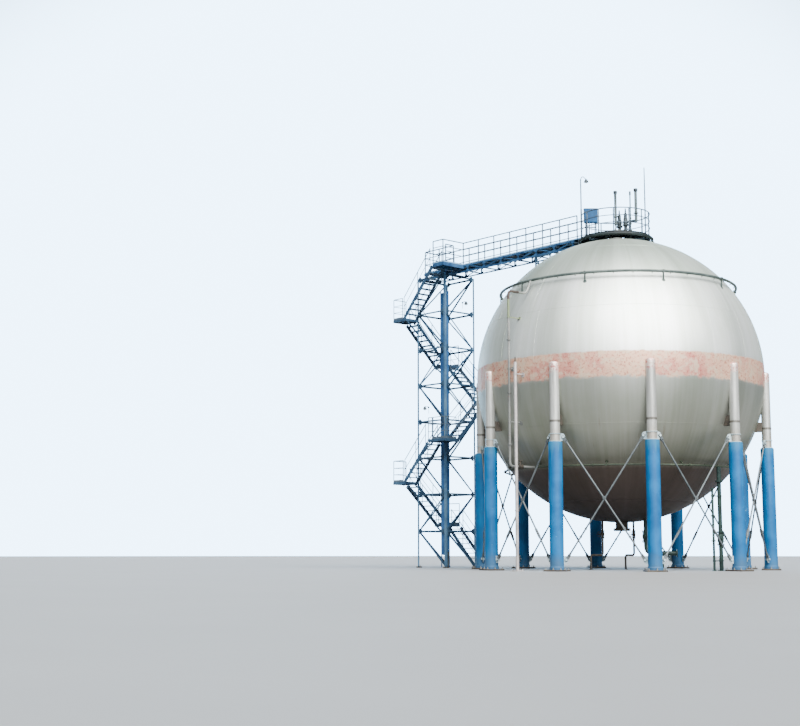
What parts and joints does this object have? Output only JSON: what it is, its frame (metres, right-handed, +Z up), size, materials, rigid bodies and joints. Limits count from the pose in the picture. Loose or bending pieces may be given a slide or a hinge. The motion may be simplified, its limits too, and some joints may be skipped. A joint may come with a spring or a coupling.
{
  "type": "spherical gas tank",
  "caption": "Spherical pressure tank for gas on braced columns, with spray rings, a top platform, an access bridge and a stair tower.",
  "frame": {"origin": "centre of the bounding box at floor level", "axes": "+X from the stair tower along the bridge to the tank, +Z up"},
  "size_m": [18.8515, 13.2599, 17.84],
  "materials": {
    "shell_paint": "weathered silver paint",
    "belt_paint": "faded, worn red paint over silver",
    "column_paint": "blue painted sleeves, silver tubes above",
    "tower_paint": "steel blue paint, weathered",
    "rod_paint": "light grey paint",
    "pipe_grey": "grey paint",
    "pipe_green": "dark green paint",
    "box_blue": "blue paint"
  },
  "bodies": {
    "root": {"shell_bottom_cap": "shell_paint", "shell_lower_zone": "shell_paint", "shell_upper_zone": "shell_paint", "shell_top_cap": "shell_paint", "shell_equator_belt": "belt_paint", "column_01": "column_paint", "column_02": "column_paint", "column_03": "column_paint", "column_04": "column_paint", "column_05": "column_paint", "column_06": "column_paint", "column_07": "column_paint", "column_08": "column_paint", "column_09": "column_paint", "column_10": "column_paint", "tie_rods_01": "rod_paint", "tie_rods_02": "rod_paint", "tie_rods_03": "rod_paint", "tie_rods_04": "rod_paint", "tie_rods_05": "rod_paint", "tie_rods_06": "rod_paint", "tie_rods_07": "rod_paint", "tie_rods_08": "rod_paint", "tie_rods_09": "rod_paint", "tie_rods_10": "rod_paint", "upper_spray_ring": "pipe_green", "lower_spray_ring": "pipe_grey", "ring_riser": "pipe_grey", "riser_pole": "pipe_grey", "lower_ring_feed": "pipe_green", "bottom_manhole": "pipe_grey", "bottom_outlet": "pipe_green", "top_platform_deck": "tower_paint", "top_platform_railing": "tower_paint", "top_manhole": "pipe_grey", "relief_valve_left": "pipe_grey", "relief_valve_right": "pipe_grey", "gauge_pipe": "pipe_grey", "control_box": "box_blue", "lamp_post": "pipe_grey", "lightning_rod": "pipe_grey", "bridge_truss": "tower_paint", "bridge_railing_front": "tower_paint", "bridge_railing_back": "tower_paint", "bridge_strut": "tower_paint", "stair_tower_front": "tower_paint", "stair_tower_back": "tower_paint", "stair_tower_tank_side": "tower_paint", "stair_tower_outer_side": "tower_paint", "tower_cable_tray": "tower_paint", "stair_flight_1": "tower_paint", "stair_flight_2": "tower_paint", "stair_flight_3": "tower_paint", "stair_flight_4": "tower_paint", "stair_flight_5": "tower_paint", "stair_flight_6": "tower_paint", "stair_flight_7": "tower_paint"}
  },
  "joints": []
}
